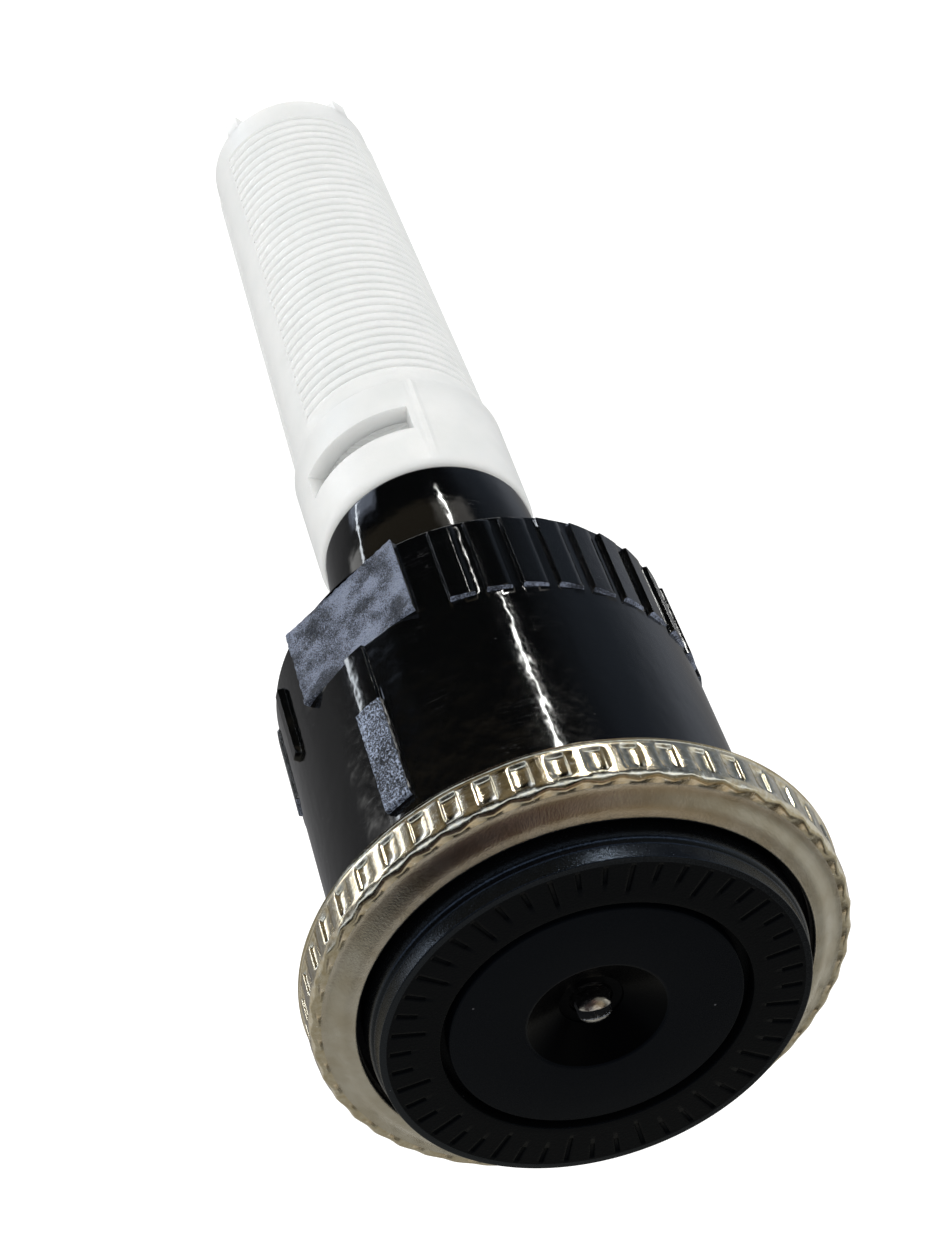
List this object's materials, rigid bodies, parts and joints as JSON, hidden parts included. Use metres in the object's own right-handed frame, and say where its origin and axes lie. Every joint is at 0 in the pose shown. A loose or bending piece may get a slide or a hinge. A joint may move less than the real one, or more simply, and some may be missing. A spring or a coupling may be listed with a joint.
{
  "type": "pop up sprinkler nozzle",
  "caption": "Rotary-stream pop up sprinkler nozzle: dimpled steel arc ring, spinning deflector on a sprung stem, threaded skirt and removable inlet filter.",
  "frame": {"origin": "centre of the skirt's bottom rim, on the inlet axis", "axes": "+Z out of the watering face; the marker flat faces 60.75 degrees from +X towards -Y; +Y completes the right-handed frame"},
  "size_m": [0.0298, 0.0298, 0.0849],
  "materials": {
    "black_body": "glossy black moulded plastic",
    "black_rotor": "satin black moulded plastic",
    "black_inner": "plain black moulded plastic",
    "white_filter": "slightly translucent white polypropylene",
    "grey_acetal": "plain grey acetal",
    "stainless_ring": "pressed stainless sheet, satin lip and bright band",
    "stainless_wire": "drawn stainless wire and turned pin",
    "bronze": "plain bearing bronze",
    "seal_rubber": "black seal rubber",
    "white_washer": "white low-friction washer"
  },
  "bodies": {
    "base": {"base_body": "black_body", "inlet_tube": "black_body", "riser_gasket": "seal_rubber", "stem_guide": "grey_acetal", "stem_seal": "seal_rubber", "collar_retainer": "stainless_wire", "return_spring": "stainless_wire"},
    "arc_ring": {"arc_collar": "black_inner", "steel_crown": "stainless_ring", "collar_seal": "seal_rubber"},
    "turret": {"stem": "grey_acetal", "arc_cam": "grey_acetal", "spring_seat": "black_inner", "stem_clip": "stainless_wire", "nozzle_seal": "seal_rubber", "shaft_seal": "seal_rubber"},
    "nozzle": {"arc_nozzle": "black_inner"},
    "shaft": {"adjust_shaft": "stainless_wire", "shaft_clip": "stainless_wire", "damper_stator": "black_inner"},
    "throttle": {"throttle_plug": "black_inner"},
    "rotor": {"rotor_plate": "black_rotor", "rotor_cap": "black_rotor", "lower_bushing": "bronze", "damper_seal": "seal_rubber", "thrust_washer": "white_washer", "cap_seal": "seal_rubber"},
    "filter": {"filter_basket": "white_filter"}
  },
  "joints": [
    {"name": "pop_up", "type": "slide", "parent": "base", "child": "turret", "axis": [0, 0, 1], "range_m": [0, 0.006], "stiffness_N_per_m": 60, "deforming": ["return_spring"]},
    {"name": "arc_turn", "type": "hinge", "parent": "base", "child": "arc_ring", "pos_m": [0, 0, 0.0237], "axis": [0, 0, 1], "range_deg": [0, 120]},
    {"name": "nozzle_turn", "type": "hinge", "parent": "turret", "child": "nozzle", "pos_m": [0, 0, 0.016], "axis": [0, 0, 1], "range_deg": [0, 120]},
    {"name": "radius_screw", "type": "hinge", "parent": "turret", "child": "shaft", "pos_m": [0, 0, 0.0268], "axis": [0, 0, 1], "range_deg": [0, 1080]},
    {"name": "throttle_travel", "type": "slide", "parent": "turret", "child": "throttle", "axis": [0, 0, 1], "range_m": [0, 0.0024]},
    {"name": "rotor_spin", "type": "hinge", "parent": "turret", "child": "rotor", "pos_m": [0, 0, 0.0277], "axis": [0, 0, 1], "continuous": true},
    {"name": "filter_pull", "type": "slide", "parent": "base", "child": "filter", "axis": [0, 0, -1], "range_m": [0, 0.012], "stiffness_N_per_m": 60}
  ],
  "couplings": [
    {"joint": "nozzle_turn", "follows": "arc_turn", "ratio": 1},
    {"joint": "radius_screw", "follows": "throttle_travel", "rad_per_m": 7853.9}
  ]
}
